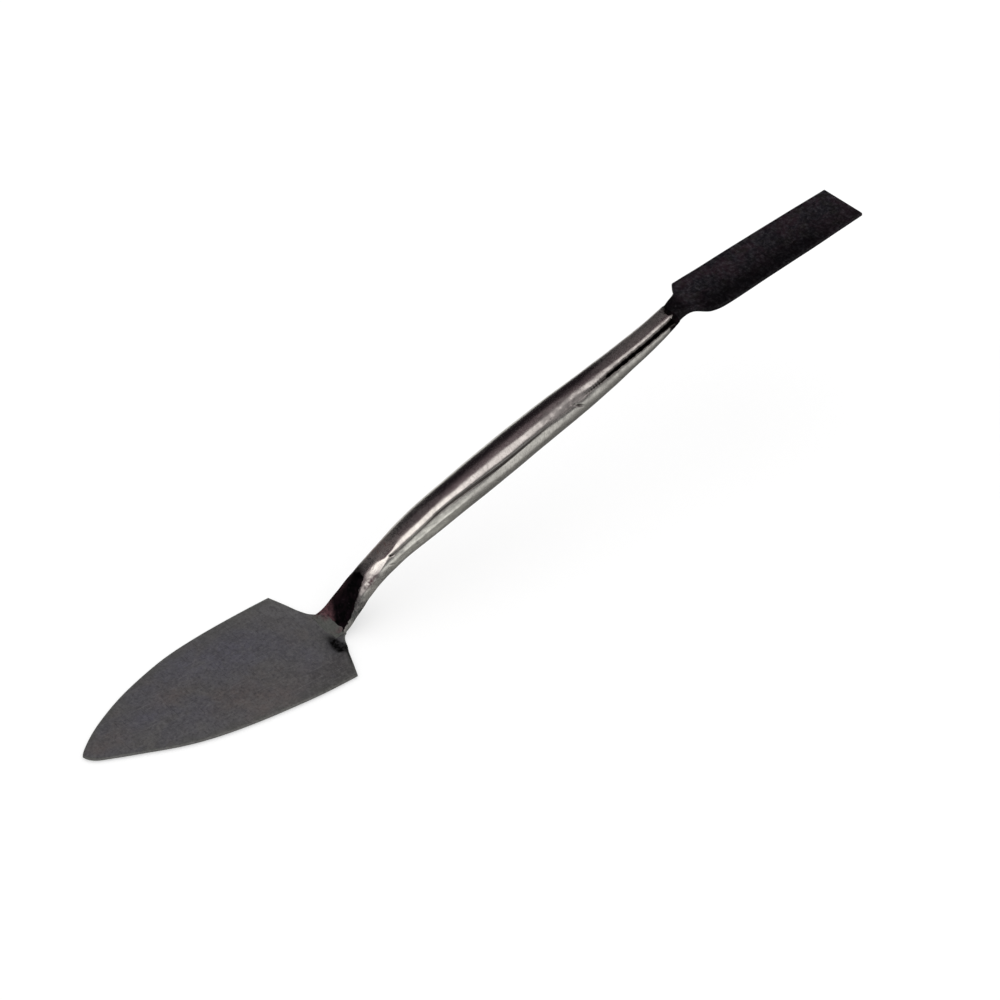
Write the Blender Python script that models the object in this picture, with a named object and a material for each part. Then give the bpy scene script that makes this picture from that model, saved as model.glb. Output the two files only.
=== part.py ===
"""Leaf and square: a double-ended, all-steel modelling and plastering tool.

Frame: metres, +Z up.  The underside of the leaf lies flat on Z = 0.  The origin
is midway between the leaf's heel corners and +X runs from the leaf towards the
square end.  "Far" is the +Y side and "near" the -Y side; the tool is nearly
mirror-symmetric about the plane Y = 0.

The tool is fabricated from eight pieces:
  leaf_blade         leaf-shaped plate with a root tab
  leaf_neck          cranked neck, foot over the leaf, tang inside the handle
  leaf_foot_weld     fillet weld round the foot
  handle_tube        handle rolled from sheet, open along one seam
  handle_seam_weld   weld that closes the seam over the handle's middle
  leaf_end_weld      ring weld between neck and handle
  square_blade       square-ended blade with its neck and flat tang
  square_end_weld    ring weld between handle and square blade
"""

import math

import bmesh
import bpy

for old in list(bpy.data.objects):
    bpy.data.objects.remove(old, do_unlink=True)

# ---------------------------------------------------------------- dimensions
# All in millimetres and degrees; loft() converts to metres.
METRES_PER_MM = 0.001

GAP = 0.15                  # clearance left between neighbouring pieces
AROUND = 24                 # points round a section

# Leaf
LEAF_LENGTH = 69.2          # heel to tip
LEAF_HALF_WIDTH = 18.95     # at the heel
LEAF_THICKNESS = 1.0
LEAF_CURVE = 2.5            # outline: half = HALF * (1 - t**CURVE) ** FULLNESS
LEAF_FULLNESS = 0.8
LEAF_TIP_STEPS = 26
LEAF_EDGE = 0.35            # width of the ground edge on the upper face
LEAF_EDGE_START = 0.55      # where the ground edge starts, as a share of thickness
LEAF_HEEL_FAR = 0.9         # stretch of the heel along X on the far side ...
LEAF_HEEL_NEAR = 1.2        # ... and on the near side, which sweeps further to +X
# Heel outline from the corner to the root tab: x, half width
LEAF_HEEL = ((0.5, 18.0), (2.0, 14.4), (3.2, 10.4), (4.6, 7.3), (6.0, 5.6), (7.8, 4.8))

# Body centre line from the foot on the leaf to the square blade, with the
# section's half width (along Y), half height and squareness (2 = ellipse).
#    x      z      half_w half_h square
STATIONS = (
    (2.6,    1.95,  4.60,  0.70,  6.0),
    (5.6,    2.10,  4.70,  0.80,  6.0),
    (8.2,    2.95,  4.75,  1.05,  5.5),
    (12.3,   6.00,  4.30,  1.80,  4.5),
    (17.0,   9.70,  3.60,  2.60,  4.0),
    (22.2,  12.90,  3.60,  3.15,  3.2),
    (27.6,  15.70,  4.00,  3.70,  2.5),
    (33.4,  18.10,  4.45,  4.25,  2.2),
    (45.4,  22.10,  4.70,  4.65,  2.1),
    (60.7,  26.90,  4.87,  4.85,  2.1),
    (79.4,  32.50,  4.70,  4.70,  2.1),
    (92.2,  36.10,  4.35,  4.35,  2.1),
    (101.6, 39.10,  3.92,  3.92,  2.1),
    (111.0, 42.30,  3.54,  3.50,  2.1),
    (117.0, 44.90,  3.22,  3.05,  2.2),
    (121.6, 47.28,  3.15,  2.00,  2.6),
    (126.0, 47.86,  3.60,  1.20,  3.4),
)

# Handle
HANDLE_FROM_X = 20.8
HANDLE_TO_X = 118.4
HANDLE_WALL = 0.9
HANDLE_STEP = 3.2           # spacing of sections along the handle and its seam
SEAM_ANGLE = 148.0          # round the section from +Y over the top
SEAM_WIDTH = 0.9
SEAM_OPEN_WIDTH = 2.2       # at the square end, where the seam gapes
SEAM_WELD_FROM_X = 26.0
SEAM_WELD_TO_X = 96.0
SEAM_WELD_DEPTH = 0.85 * HANDLE_WALL

# Room for a ring weld at each end of the handle
NECK_SHOULDER_X = HANDLE_FROM_X - 1.5
SQUARE_SHOULDER_X = HANDLE_TO_X + 1.4
SHOULDER_STEP = 0.01        # length over which a shoulder steps to its tang

# Leaf neck and its round tang
NECK_FOOT_X = (2.6, 4.2, 5.6, 7.0)    # sections along the foot
NECK_CRANK_FROM_X = 8.2
NECK_STEP = 1.8
ROUND_TANG_RADIUS = 1.8
ROUND_TANG_TO_X = 60.0
ROUND_TANG_STEP = 5.0
ROUND_TANG_TIP_LENGTH = 0.8
ROUND_TANG_TIP_RADIUS = 0.6 * ROUND_TANG_RADIUS

# Foot weld
FOOT_WELD_SIDE_X = (6.0, 4.8, 3.4)    # sections along each side of the foot
FOOT_WELD_WIDTH = 1.3
FOOT_WELD_HEIGHT = 1.15
FOOT_WELD_END_SCALE = 0.45
FOOT_WELD_CORNER = 1.1      # along Y, from the foot's corner to the toe's straight
FOOT_WELD_LIFT = 0.1        # clearance above the leaf
# Bead section: outward from the foot, upward, as shares of its width and height
FOOT_WELD_SECTION = ((0.0, 0.0), (1.0, 0.0), (0.72, 0.42), (0.40, 0.75), (0.0, 1.0))

# Square blade
SQUARE_PITCH = 7.49         # the blade's plane rises this much towards its end
SQUARE_PLANE_X = 153.98     # a point on the blade's middle plane
SQUARE_PLANE_Z = 51.54
SQUARE_END_X = 181.6
SQUARE_HALF_END = 7.25      # half width at the end edge
SQUARE_HALF_HEEL = 7.9      # half width at the heel
SQUARE_HALF_THICKNESS = 1.2 / 2
SQUARE_NECK_HALF = 3.1      # half width where the shoulders leave the neck
FAR_NECK_END_X = 121.6
NEAR_NECK_END_X = 122.4
FAR_HEEL_X = 127.7
NEAR_HEEL_X = FAR_HEEL_X + 2.4
NECK_WIDTH_SHARE = 0.93     # neck's share of the body section's width ...
NECK_HEIGHT_SHARE = 0.86    # ... and height
NECK_THINNING_LENGTH = 7.0
SHOULDERS_FROM_X = 120.2    # closely spaced sections through the shoulders
SHOULDERS_TO_X = 131.0
SHOULDERS_STEP = 0.9
SQUARE_BLADE_X = (145.0, 160.0, 172.0, SQUARE_END_X)
FLAT_TANG_HALF_WIDTH = 1.35
FLAT_TANG_FROM_X = 86.0
FLAT_TANG_STEP = 4.2


# --------------------------------------------------------------- body shape
def spline(rows, x):
    """The row's other columns at x, by a cubic through the rows (Catmull-Rom)."""
    last = len(rows) - 1
    i = max((k for k in range(last) if rows[k][0] <= x), default=0)
    start, end = rows[i], rows[i + 1]
    before, after = rows[max(i - 1, 0)], rows[min(i + 2, last)]
    span = end[0] - start[0]
    t = min(max((x - start[0]) / span, 0.0), 1.0)
    square, cube = t * t, t * t * t
    values = []
    for k in range(1, len(start)):
        start_slope = (end[k] - before[k]) / (end[0] - before[0]) * span
        end_slope = (after[k] - start[k]) / (after[0] - start[0]) * span
        values.append((2 * cube - 3 * square + 1) * start[k]
                      + (cube - 2 * square + t) * start_slope
                      + (-2 * cube + 3 * square) * end[k]
                      + (cube - square) * end_slope)
    return values


def centre_z(x):
    """Height of the centre line, which ends in the square blade's middle plane."""
    if x >= STATIONS[-1][0]:
        return SQUARE_PLANE_Z + (x - SQUARE_PLANE_X) * math.tan(math.radians(SQUARE_PITCH))
    return spline(STATIONS, x)[0]


def body(x):
    """Half width, half height and squareness of the outer section at x."""
    return spline(STATIONS, x)[1:]


def place(x, across, up):
    """Point of a section: across along Y, up along the centre line's normal."""
    slope = math.atan2(centre_z(x + 0.5) - centre_z(x - 0.5), 1.0)
    return (x - up * math.sin(slope), across, centre_z(x) + up * math.cos(slope))


def section_point(x, half_w, half_h, square, angle):
    """Point of a superellipse section at an angle from +Y over the top."""
    cosine, sine = math.cos(angle), math.sin(angle)
    across = half_w * math.copysign(abs(cosine) ** (2 / square), cosine)
    up = half_h * math.copysign(abs(sine) ** (2 / square), sine)
    return place(x, across, up)


def ring(x, half_w, half_h, square):
    return [section_point(x, half_w, half_h, square, 2 * math.pi * k / AROUND)
            for k in range(AROUND)]


def round_ring(x, radius):
    return ring(x, radius, radius, 2.0)


def sunk_point(x, depth, angle):
    """Point at a depth below the body's surface."""
    half_w, half_h, square = body(x)
    return section_point(x, half_w - depth, half_h - depth, square, angle)


def mean_radius(x):
    half_w, half_h, _ = body(x)
    return 0.5 * (half_w + half_h)


def spaced(start, stop, step):
    """Evenly spaced x values from start to stop, about a step apart."""
    count = max(1, round((stop - start) / step))
    return [start + (stop - start) * k / count for k in range(count + 1)]


# ------------------------------------------------------- meshes and materials
def loft(rings, closed=False):
    """A solid through equal-sized rings; closed joins the last to the first."""
    solid = bmesh.new()
    loops = [[solid.verts.new([METRES_PER_MM * value for value in point]) for point in points]
             for points in rings]
    count = len(loops[0])
    following = loops[1:] + loops[:1] if closed else loops[1:]
    for this, after in zip(loops, following):
        for k in range(count):
            m = (k + 1) % count
            solid.faces.new((this[k], this[m], after[m], after[k]))
    if not closed:
        solid.faces.new(loops[0][::-1])
        solid.faces.new(loops[-1])
    return solid


def add_object(name, solid, steel, smooth_degrees=35):
    bmesh.ops.recalc_face_normals(solid, faces=solid.faces)
    mesh = bpy.data.meshes.new(name)
    solid.to_mesh(mesh)
    solid.free()
    mesh.materials.append(steel)
    mesh.shade_smooth()
    mesh.set_sharp_from_angle(angle=math.radians(smooth_degrees))
    made = bpy.data.objects.new(name, mesh)
    bpy.context.scene.collection.objects.link(made)
    made.parent = tool


def material(name, colour, metallic, roughness):
    made = bpy.data.materials.new(name)
    made.use_nodes = True
    shader = made.node_tree.nodes["Principled BSDF"]
    shader.inputs["Base Color"].default_value = (*colour, 1)
    shader.inputs["Metallic"].default_value = metallic
    shader.inputs["Roughness"].default_value = roughness
    made.diffuse_color = (*colour, 1)
    return made


GREY_STEEL = material("leaf_grey_steel", colour=(0.085, 0.080, 0.090),
                      metallic=0.75, roughness=0.55)
BLACK_STEEL = material("black_scaled_steel", colour=(0.018, 0.015, 0.017),
                       metallic=0.70, roughness=0.50)
BRIGHT_STEEL = material("polished_steel", colour=(0.62, 0.60, 0.58),
                        metallic=1.0, roughness=0.22)
WELD_STEEL = material("ground_weld_steel", colour=(0.20, 0.20, 0.18),
                      metallic=0.85, roughness=0.45)


# ---------------------------------------------------------------- leaf blade
def leaf_outline(inset=0.0):
    """The leaf's outline, counter-clockwise from above, from the root tab's
    far corner round the tip to its near corner."""
    length, half = LEAF_LENGTH - inset, LEAF_HALF_WIDTH - inset

    def heel(stretch):
        return [(x * stretch - inset * 0.5, y - inset * 0.5) for x, y in reversed(LEAF_HEEL)]

    side = []
    for k in range(LEAF_TIP_STEPS):
        # points crowd towards the rounded tip
        t = math.sin(0.5 * math.pi * k / LEAF_TIP_STEPS)
        side.append((-length * t, half * (1 - t ** LEAF_CURVE) ** LEAF_FULLNESS))
    far = heel(LEAF_HEEL_FAR) + side
    near = [(x, -y) for x, y in heel(LEAF_HEEL_NEAR) + side]
    return far + [(-length, 0.0)] + near[::-1]


def build_leaf():
    levels = ((0.0, 0.0), (0.0, LEAF_EDGE_START), (LEAF_EDGE, 1.0))
    rings = [[(x, y, share * LEAF_THICKNESS) for x, y in leaf_outline(inset)]
             for inset, share in levels]
    add_object("leaf_blade", loft(rings), GREY_STEEL, smooth_degrees=25)


# ----------------------------------------------------------------- leaf neck
def build_neck():
    neck = [*NECK_FOOT_X, *spaced(NECK_CRANK_FROM_X, NECK_SHOULDER_X, NECK_STEP)]
    tang = [NECK_SHOULDER_X + SHOULDER_STEP,
            *spaced(HANDLE_FROM_X, ROUND_TANG_TO_X, ROUND_TANG_STEP)]
    rings = [ring(x, *body(x)) for x in neck]
    rings += [round_ring(x, ROUND_TANG_RADIUS) for x in tang]
    rings.append(round_ring(ROUND_TANG_TO_X + ROUND_TANG_TIP_LENGTH, ROUND_TANG_TIP_RADIUS))
    add_object("leaf_neck", loft(rings), BLACK_STEEL)


def build_foot_weld():
    """Fillet bead in a U round the foot, just clear of the leaf."""
    base = LEAF_THICKNESS + FOOT_WELD_LIFT
    toe = STATIONS[0][0] - GAP
    diagonal = math.sqrt(0.5)
    # Path of the bead's inner edge: x, y and the outward direction's x, y
    path = [(x, body(x)[0] + GAP, 0.0, 1.0) for x in FOOT_WELD_SIDE_X]
    corner = path[-1][1]
    path.append((toe, corner, -diagonal, diagonal))
    path.append((toe, corner - FOOT_WELD_CORNER, -1.0, 0.0))
    path += [(x, -y, out_x, -out_y) for x, y, out_x, out_y in reversed(path)]
    rings = []
    for k, (x, y, out_x, out_y) in enumerate(path):
        scale = FOOT_WELD_END_SCALE if k in (0, len(path) - 1) else 1.0
        width, height = FOOT_WELD_WIDTH * scale, FOOT_WELD_HEIGHT * scale
        rings.append([(x + out_x * width * out, y + out_y * width * out, base + height * up)
                      for out, up in FOOT_WELD_SECTION])
    add_object("leaf_foot_weld", loft(rings), WELD_STEEL)


# -------------------------------------------------------------------- handle
def seam_width(x):
    """The seam is tight as far as its weld runs and gapes near the square end."""
    t = max((x - SEAM_WELD_TO_X) / (HANDLE_TO_X - SEAM_WELD_TO_X), 0)
    return SEAM_WIDTH + (SEAM_OPEN_WIDTH - SEAM_WIDTH) * t


def wall_arc(x, depth):
    """Arc at a depth in the wall, from one lip of the seam round to the other."""
    half_open = seam_width(x) / 2 / (mean_radius(x) - depth)
    start = math.radians(SEAM_ANGLE) + half_open
    sweep = 2 * math.pi - 2 * half_open
    return [sunk_point(x, depth, start + sweep * k / AROUND) for k in range(AROUND + 1)]


def build_handle():
    rings = [wall_arc(x, 0.0) + wall_arc(x, HANDLE_WALL)[::-1]
             for x in spaced(HANDLE_FROM_X, HANDLE_TO_X, HANDLE_STEP)]
    add_object("handle_tube", loft(rings), BRIGHT_STEEL)


def build_seam_weld():
    """A strip that follows the seam, flush outside and a little thinner than the wall."""
    rings = []
    seam = math.radians(SEAM_ANGLE)
    corners = ((0.0, 1), (0.0, -1), (SEAM_WELD_DEPTH, -1), (SEAM_WELD_DEPTH, 1))
    for x in spaced(SEAM_WELD_FROM_X, SEAM_WELD_TO_X, HANDLE_STEP):
        half_angle = (SEAM_WIDTH - 2 * GAP) / 2 / mean_radius(x)
        rings.append([sunk_point(x, depth, seam + side * half_angle)
                      for depth, side in corners])
    add_object("handle_seam_weld", loft(rings), WELD_STEEL)


def build_ring_weld(name, from_x, to_x, tang_half_w, tang_half_h, tang_square):
    """A ring round a tang between two faces, flush with the body outside."""
    from_x, to_x = from_x + GAP, to_x - GAP
    along = [from_x, 0.5 * (from_x + to_x), to_x]
    rings = [ring(x, *body(x)) for x in along]
    rings += [ring(x, tang_half_w + GAP, tang_half_h + GAP, tang_square)
              for x in reversed(along)]
    add_object(name, loft(rings, closed=True), WELD_STEEL)


# -------------------------------------------------------------- square blade
def far_shoulder(t):
    """Concave all the way to a crisp heel corner."""
    return t ** 1.7


def near_shoulder(t):
    """Concave out of the neck, then convex into a rounded heel corner."""
    return t * t * (3 - 2 * t)


def square_half(x, neck_end, heel, shoulder):
    """Half width of one side of the square blade: neck, shoulder and blade."""
    if x <= neck_end:
        return NECK_WIDTH_SHARE * body(x)[0]
    if x < heel:
        lift = shoulder((x - neck_end) / (heel - neck_end))
        return SQUARE_NECK_HALF + (SQUARE_HALF_HEEL - SQUARE_NECK_HALF) * lift
    t = (x - heel) / (SQUARE_END_X - heel)
    return SQUARE_HALF_HEEL + (SQUARE_HALF_END - SQUARE_HALF_HEEL) * t


def flat_ring(x, far, near, half_thick):
    """A flat bar's section: rectangle with its long sides split in three."""
    across = [far, far / 3, -near / 3, -near]
    upper = [place(x, y, half_thick) for y in across]
    lower = [place(x, y, -half_thick) for y in reversed(across)]
    return upper + lower


def build_square():
    rings = [flat_ring(x, FLAT_TANG_HALF_WIDTH, FLAT_TANG_HALF_WIDTH, SQUARE_HALF_THICKNESS)
             for x in spaced(FLAT_TANG_FROM_X, SQUARE_SHOULDER_X, FLAT_TANG_STEP)]
    neck_from = SQUARE_SHOULDER_X + SHOULDER_STEP
    for x in [neck_from, *spaced(SHOULDERS_FROM_X, SHOULDERS_TO_X, SHOULDERS_STEP),
              *SQUARE_BLADE_X]:
        far = square_half(x, FAR_NECK_END_X, FAR_HEEL_X, far_shoulder)
        near = square_half(x, NEAR_NECK_END_X, NEAR_HEEL_X, near_shoulder)
        # the neck is thicker than the blade and thins out over the shoulders
        extra = NECK_HEIGHT_SHARE * body(x)[1] - SQUARE_HALF_THICKNESS
        fade = max(1 - (x - neck_from) / NECK_THINNING_LENGTH, 0.0) ** 1.5
        rings.append(flat_ring(x, far, near, SQUARE_HALF_THICKNESS + extra * fade))
    add_object("square_blade", loft(rings), BLACK_STEEL, smooth_degrees=20)


# ------------------------------------------------------------------ assembly
tool = bpy.data.objects.new("leaf_and_square", None)
bpy.context.scene.collection.objects.link(tool)

build_leaf()
build_neck()
build_foot_weld()
build_handle()
build_seam_weld()
build_ring_weld("leaf_end_weld", NECK_SHOULDER_X, HANDLE_FROM_X,
                ROUND_TANG_RADIUS, ROUND_TANG_RADIUS, tang_square=2.0)
build_ring_weld("square_end_weld", HANDLE_TO_X, SQUARE_SHOULDER_X,
                FLAT_TANG_HALF_WIDTH, SQUARE_HALF_THICKNESS, tang_square=8.0)
build_square()
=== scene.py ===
"""Looks of the leaf and square: a double-ended, all-steel modelling tool.

The tool lies along X with its underside near z = 0: the leaf's tip at x = -69,
then the cranked neck, the rising tubular handle, and the square blade, which
ends at x = 182.  "Near" is the -Y side, "far" the +Y side.  Each CAD piece is
replaced by a finer one that rides on the one rigid body "root".  Lengths are
in millimetres unless a name or comment says otherwise; MM turns them to metres.
"""
import math

import bmesh
import bpy
import numpy as np
from mathutils import Matrix, Vector, noise


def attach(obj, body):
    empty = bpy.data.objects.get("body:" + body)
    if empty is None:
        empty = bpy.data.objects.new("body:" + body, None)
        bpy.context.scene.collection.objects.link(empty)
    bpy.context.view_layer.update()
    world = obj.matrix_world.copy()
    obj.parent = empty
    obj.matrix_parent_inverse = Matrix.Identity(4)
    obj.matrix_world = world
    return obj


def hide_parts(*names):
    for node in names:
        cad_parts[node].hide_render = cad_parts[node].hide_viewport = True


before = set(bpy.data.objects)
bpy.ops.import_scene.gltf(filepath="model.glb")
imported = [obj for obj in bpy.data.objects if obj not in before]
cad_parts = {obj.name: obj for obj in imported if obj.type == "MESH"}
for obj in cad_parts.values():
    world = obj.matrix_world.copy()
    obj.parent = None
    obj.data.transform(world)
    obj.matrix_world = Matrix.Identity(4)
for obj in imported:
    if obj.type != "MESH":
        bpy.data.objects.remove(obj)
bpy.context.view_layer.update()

MM = 0.001
BODY = "root"


# ===================================================================== maths
class Spline:
    """Natural cubic spline through (x, y): smooth to the second derivative."""

    def __init__(self, x, y):
        self.x, self.y = np.array(x, float), np.array(y, float)
        count = len(self.x)
        step = np.diff(self.x)
        slope = np.diff(self.y) / step
        system = np.zeros((count, count))
        target = np.zeros(count)
        system[0, 0] = system[-1, -1] = 1
        for i in range(1, count - 1):
            system[i, i - 1:i + 2] = step[i - 1], 2 * (step[i - 1] + step[i]), step[i]
            target[i] = 6 * (slope[i] - slope[i - 1])
        self.bend = np.linalg.solve(system, target)

    def __call__(self, at):
        at = np.clip(np.asarray(at, float), self.x[0], self.x[-1])
        i = np.clip(np.searchsorted(self.x, at) - 1, 0, len(self.x) - 2)
        step = self.x[i + 1] - self.x[i]
        left, right = (self.x[i + 1] - at) / step, (at - self.x[i]) / step
        curve = (left ** 3 - left) * self.bend[i] + (right ** 3 - right) * self.bend[i + 1]
        return left * self.y[i] + right * self.y[i + 1] + curve * step * step / 6


def smooth(low, high, value):
    """Smooth step from 0 at low to 1 at high."""
    share = np.clip((np.asarray(value, float) - low) / (high - low), 0, 1)
    return share * share * (3 - 2 * share)


def bump(value, centre, width):
    return np.exp(-((np.asarray(value, float) - centre) / width) ** 2)


def ovals(table, x, y, start=0):
    """Adds soft ovals to start; columns: x, y, half length, half width, strength."""
    return sum((strength * np.exp(-((x - at_x) / long) ** 2 - ((y - at_y) / wide) ** 2)
                for at_x, at_y, long, wide, strength in table), start)


def wave_noise(points, size, seed):
    """Smooth noise with features of the given size at points (n, 3)."""
    offset = Vector((seed * 17.3, seed * 5.1, seed * 9.7))
    return np.array([noise.noise(Vector(point) / size + offset) for point in points])


def ring_angles(count):
    return np.linspace(0, 2 * np.pi, count, endpoint=False)


# ============================================================== tool's spine
# x, z of the centre line, half width, half height above and below it, squareness
SPINE = (
    (4.0, 0.80, 5.00, 0.35, 0.65, 5.0),
    (6.4, 1.35, 4.95, 0.60, 1.05, 5.0),
    (8.4, 2.76, 4.78, 1.00, 1.45, 4.8),
    (10.4, 4.40, 4.55, 1.38, 1.62, 4.6),
    (12.3, 5.98, 4.26, 1.80, 1.88, 4.4),
    (14.6, 7.88, 3.90, 2.25, 2.22, 4.1),
    (17.0, 9.70, 3.64, 2.62, 2.56, 3.7),
    (19.6, 11.42, 3.56, 2.95, 2.90, 3.1),
    (22.2, 12.92, 3.66, 3.20, 3.18, 2.65),
    (24.9, 14.35, 3.84, 3.46, 3.42, 2.35),
    (27.6, 15.70, 4.03, 3.72, 3.70, 2.18),
    (30.4, 16.98, 4.26, 4.00, 4.00, 2.1),
    (33.4, 18.12, 4.45, 4.25, 4.25, 2.1),
    (39.3, 20.16, 4.64, 4.55, 4.55, 2.1),
    (45.4, 22.10, 4.72, 4.68, 4.68, 2.1),
    (53.0, 24.50, 4.84, 4.82, 4.82, 2.1),
    (60.7, 26.90, 4.89, 4.88, 4.88, 2.1),
    (70.0, 29.74, 4.80, 4.80, 4.80, 2.1),
    (79.4, 32.48, 4.70, 4.70, 4.70, 2.1),
    (85.8, 34.28, 4.55, 4.55, 4.55, 2.1),
    (92.2, 36.10, 4.36, 4.32, 4.32, 2.1),
    (98.5, 38.05, 4.12, 4.02, 4.02, 2.1),
    (104.0, 39.85, 3.86, 3.68, 3.68, 2.1),
    (111.0, 42.30, 3.64, 3.26, 3.26, 2.1),
    (114.5, 43.72, 3.50, 2.98, 2.98, 2.15),
    (117.5, 45.10, 3.36, 2.62, 2.62, 2.3),
    (119.9, 46.30, 3.20, 2.22, 2.22, 2.5),
    (121.8, 47.15, 3.16, 1.85, 1.85, 2.9),
    (123.8, 47.58, 3.30, 1.50, 1.50, 3.4),
)
SPINE_COLUMNS = list(zip(*SPINE))
SPINE_X = SPINE_COLUMNS[0]
SPINE_Z, HALF_WIDTH, HALF_ABOVE, HALF_BELOW, SQUARENESS = (
    Spline(SPINE_X, column) for column in SPINE_COLUMNS[1:])
# the square blade's plane: its pitch and a point on it
PITCH_DEG = 7.49
PLANE_X, PLANE_Z = 153.98, 51.54
# flats left by the grinding wheel: x, half length, degrees round from +Y, depth
FACETS = ((19.0, 4.8, 119.0, 0.40), (24.8, 3.6, 99.6, 0.21), (35.0, 9.0, 99.0, 0.09),
          (83.0, 8.5, 141.0, 0.17), (104.0, 15.0, 98.0, 0.13), (67.0, 14.0, 167.0, 0.13),
          (38.0, 14.0, 157.0, 0.13), (36.0, 15.0, 181.0, 0.15), (18.4, 3.2, 109.0, 0.08),
          (73.0, 13.0, 107.0, 0.06), (46.0, 12.0, 24.0, 0.12), (92.0, 16.0, 40.0, 0.10),
          (70.0, 18.0, 285.0, 0.12), (34.0, 10.0, 300.0, 0.10))
FACET_SOFTNESS = 0.05


def spine_z(x):
    """Height of the centre line, blending into the square's plane."""
    blend = smooth(120.6, 124.4, x)
    plane = PLANE_Z + (x - PLANE_X) * math.tan(math.radians(PITCH_DEG))
    return SPINE_Z(np.minimum(x, SPINE_X[-1])) * (1 - blend) + plane * blend


def place(x, y, lift):
    """Points from section coordinates: y across, lift along the spine's normal."""
    x = np.asarray(x, float)
    reach = 0.4
    slope = np.arctan2(spine_z(x + reach) - spine_z(x - reach), 2 * reach)
    return np.stack([x - lift * np.sin(slope), y, spine_z(x) + lift * np.cos(slope)], -1)


def signed_power(value, exponent):
    return np.copysign(np.abs(value) ** exponent, value)


def squared_ring(angle, far, near, above, below, squareness):
    """Rounded rectangle with its own reach on each side: y and lift at angle
    (from +Y over the top)."""
    cos, sin = np.cos(angle), np.sin(angle)
    exponent = 2 / squareness
    return (np.where(cos >= 0, far, near) * signed_power(cos, exponent),
            np.where(sin >= 0, above, below) * signed_power(sin, exponent))


def section(x, angle, inset=0.0):
    """The spine's outer section, drawn in by inset."""
    half = HALF_WIDTH(x) - inset
    return squared_ring(angle, half, half, HALF_ABOVE(x) - inset, HALF_BELOW(x) - inset,
                        SQUARENESS(x))


def mean_radius(x):
    return 0.5 * (HALF_WIDTH(x) + HALF_ABOVE(x))


def ground_section(x, angle):
    """The section with the grinding flats taken off it."""
    y, lift = section(x, angle)
    for facet_x, half_length, degrees, depth in FACETS:
        along = (x - facet_x) / half_length
        if abs(along) >= 1:
            continue
        cut = depth * (1 - along * along) ** 1.5
        cos, sin = math.cos(math.radians(degrees)), math.sin(math.radians(degrees))
        height = y * cos + lift * sin
        over = height - (float(np.max(height)) - cut)
        over = FACET_SOFTNESS * (np.logaddexp(0, over / FACET_SOFTNESS)
                                 - np.logaddexp(0, -cut / FACET_SOFTNESS))
        over = np.clip(over, 0, None)
        y, lift = y - cos * over, lift - sin * over
    return y, lift


def push_out(points, stations, amount, fade):
    """Moves ring points out from the centre line by amount, faded by station."""
    count = len(points) // len(stations)
    centre = place(stations, 0 * stations, 0 * stations)
    outward = points - np.repeat(centre, count, 0)
    outward /= np.maximum(np.linalg.norm(outward, axis=1), 1e-6)[:, None]
    moved = points + outward * (amount * np.repeat(fade, count))[:, None]
    return moved.reshape(len(stations), count, 3)


# ============================================================ steel's states
# where the leaf end's black scale stops: x, then rise (see surface_state)
OXIDE_EDGE = Spline(
    (4.0, 8.0, 10.0, 11.9, 13.6, 15.0, 16.7, 17.6, 18.4, 19.3, 20.4, 23.4),
    (-3.7, -3.20, -2.80, -2.05, -1.20, -0.38, 0.20, 0.80, 1.50, 2.25, 3.4, 5.6))
# dull ground patches: x, rise, half length, half width, strength
DULL_PATCHES = ((19.3, -1.75, 1.2, 0.8, 0.95), (27.2, -2.0, 0.7, 0.8, 0.7),
                (82.2, -0.1, 5.8, 1.6, 0.95), (74.8, 0.6, 3.4, 1.3, 0.42))


def oxide_cover(x, rise, ragged):
    """Black forging scale left on towards the leaf and towards the square."""
    softness = 0.34 + 1.9 * smooth(16.6, 19.0, x) * smooth(-0.6, 0.6, rise)
    leaf_end = smooth(-0.30, softness, rise - OXIDE_EDGE(x) + ragged * 0.9)
    # it thins in two steps up the neck, then runs out
    leaf_end = leaf_end * (1 - 0.76 * smooth(13.6, 20.0, x + 2.0 * ragged)
                           * smooth(0.4, 1.8, rise))
    leaf_end = leaf_end * (1 - 0.40 * smooth(18.6, 20.8, x + ragged))
    leaf_end = leaf_end * (1 - smooth(20.4, 23.2, x + 2.2 * ragged))
    edge = (118.3 + 1.9 * smooth(0.9, 2.5, rise) - 1.7 * smooth(-1.1, -2.1, rise)
            + 1.0 * bump(rise, -0.4, 0.5))
    square_end = smooth(-0.45 - 1.6 * smooth(0.9, 2.2, rise), 0.75, x - edge + ragged)
    return leaf_end + square_end


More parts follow.
